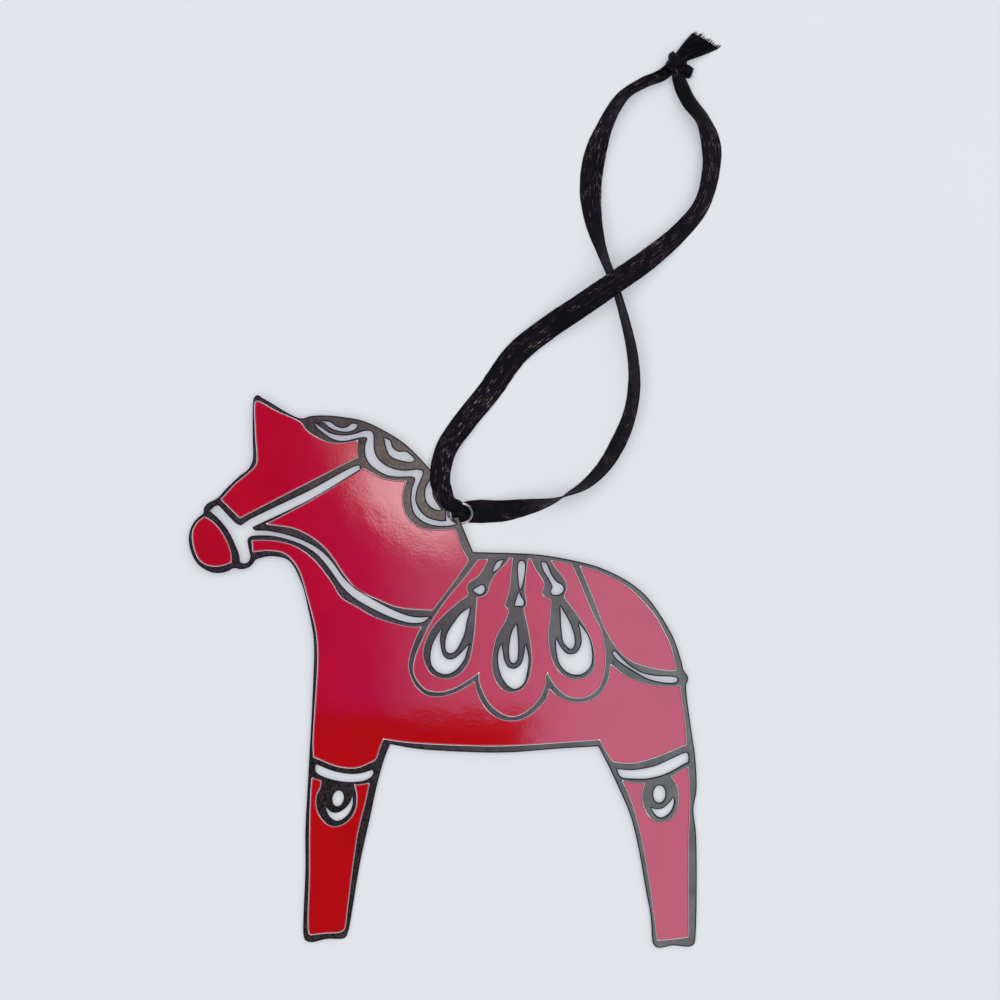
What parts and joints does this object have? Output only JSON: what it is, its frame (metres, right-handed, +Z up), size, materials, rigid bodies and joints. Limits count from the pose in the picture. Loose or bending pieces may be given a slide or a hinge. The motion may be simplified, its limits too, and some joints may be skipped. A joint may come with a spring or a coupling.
{
  "type": "hanging horse ornament",
  "caption": "Flat pierced metal horse with recessed enamel fields, hung from a jump ring on a knotted loop of satin ribbon.",
  "frame": {"origin": "centre of the horse plate's bounding box with its jump ring, at the height of the surface it lies on", "axes": "+Z up out of the surface, +Y from the hooves towards the ears and the ribbon loop, +X from the head towards the tail end"},
  "size_m": [0.0725, 0.1245, 0.004],
  "materials": {
    "plated_metal": "etched, dark plated, satin",
    "red_enamel": "glossy soft enamel with a fine orange peel",
    "ring_wire": "bright drawn wire",
    "ribbon": "woven satin"
  },
  "bodies": {
    "horse": {"plate": "plated_metal", "enamel_head": "red_enamel", "enamel_muzzle": "red_enamel", "enamel_neck": "red_enamel", "enamel_body": "red_enamel", "enamel_rump": "red_enamel", "enamel_saddle": "red_enamel", "enamel_front_leg": "red_enamel", "enamel_rear_leg": "red_enamel"},
    "ring": {"jump_ring": "ring_wire"},
    "ribbon": {"ribbon_left_strand": "ribbon", "ribbon_right_strand": "ribbon", "ribbon_knot": "ribbon", "ribbon_tail": "ribbon", "ribbon_stub": "ribbon"}
  },
  "joints": [
    {"name": "ring_swing", "type": "hinge", "parent": "horse", "child": "ring", "pos_m": [0.0024, 0.0215, 0.00105], "axis": [1, 0, 0], "range_deg": [0, 57]},
    {"name": "ribbon_swing", "type": "hinge", "parent": "ring", "child": "ribbon", "pos_m": [0.0024, 0.0215, 0.00105], "axis": [1, 0, 0], "range_deg": [0, 38]}
  ]
}
